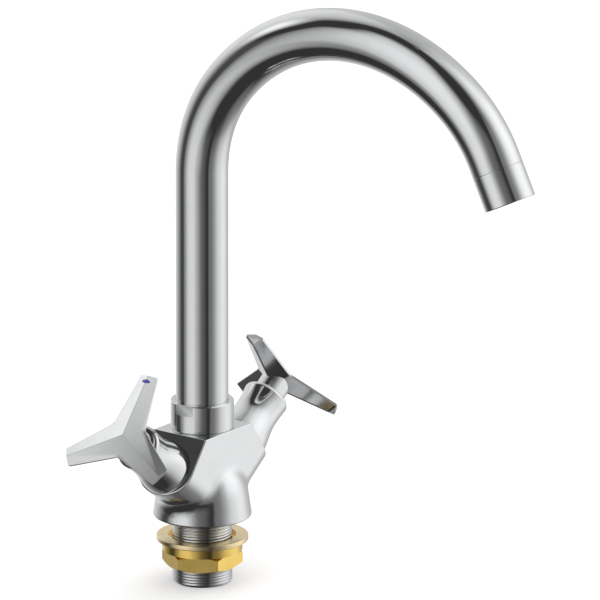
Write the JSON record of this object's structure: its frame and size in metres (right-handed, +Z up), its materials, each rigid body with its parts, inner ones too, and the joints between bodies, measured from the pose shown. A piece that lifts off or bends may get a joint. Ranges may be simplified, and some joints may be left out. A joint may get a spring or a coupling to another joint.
{
  "type": "two handle kitchen faucet",
  "caption": "Deck mounted kitchen faucet: V shaped body with two tilted valves, three-spoke handles, a swivelling swan neck spout and a threaded shank with washer and back nut.",
  "frame": {"origin": "centre of the foot's underside, on the shank axis, at the deck face", "axes": "+Z up along the shank and riser, spout towards -Y, cold valve towards -X, hot valve towards +X"},
  "size_m": [0.1614, 0.2492, 0.3325],
  "materials": {
    "chrome": "polished chrome plate",
    "chrome_thread": "chrome plated thread",
    "brass": "bright machined brass",
    "turned_brass": "turned brass",
    "ceramic": "lapped alumina ceramic",
    "rubber": "moulded rubber",
    "plastic": "moulded acetal",
    "steel": "stainless steel",
    "blue_mark": "blue enamel inlay",
    "red_mark": "red enamel inlay"
  },
  "bodies": {
    "faucet_body": {"body_casting": "chrome", "shank": "chrome_thread", "foot_gasket": "rubber", "collar_nut": "chrome", "slip_washer": "plastic", "slip_ring": "plastic", "valve_housing_cold": "turned_brass", "housing_oring_cold": "rubber", "seat_seal_cold": "rubber", "fixed_disc_cold": "ceramic", "bonnet_cold": "chrome", "valve_housing_hot": "turned_brass", "housing_oring_hot": "rubber", "seat_seal_hot": "rubber", "fixed_disc_hot": "ceramic", "bonnet_hot": "chrome"},
    "spout": {"swivel_insert": "turned_brass", "spout_orings": "rubber", "spout_tube": "chrome", "aerator_housing": "chrome", "flow_straightener": "plastic", "aerator_screen": "steel", "aerator_washer": "rubber"},
    "cold_handle": {"handle_cold": "chrome", "index_mark_cold": "blue_mark", "grub_screw_cold": "steel", "spindle_cold": "turned_brass", "spindle_orings_cold": "rubber", "circlip_cold": "steel", "moving_disc_cold": "ceramic"},
    "hot_handle": {"handle_hot": "chrome", "index_mark_hot": "red_mark", "grub_screw_hot": "steel", "spindle_hot": "turned_brass", "spindle_orings_hot": "rubber", "circlip_hot": "steel", "moving_disc_hot": "ceramic"},
    "deck_clamp": {"flange_washer": "brass", "hex_nut": "brass"}
  },
  "joints": [
    {"name": "spout_swivel", "type": "hinge", "parent": "faucet_body", "child": "spout", "pos_m": [0, 0, 0.05], "axis": [0, 0, 1], "continuous": true},
    {"name": "cold_turn", "type": "hinge", "parent": "faucet_body", "child": "cold_handle", "pos_m": [-0.03163, 0, 0.03279], "axis": [-0.8028, 0, 0.5962], "range_deg": [0, 180]},
    {"name": "hot_turn", "type": "hinge", "parent": "faucet_body", "child": "hot_handle", "pos_m": [0.03163, 0, 0.03279], "axis": [0.8028, 0, 0.5962], "range_deg": [0, 180]},
    {"name": "clamp_travel", "type": "slide", "parent": "faucet_body", "child": "deck_clamp", "axis": [0, 0, 1], "range_m": [-0.009, 0.0105]}
  ]
}
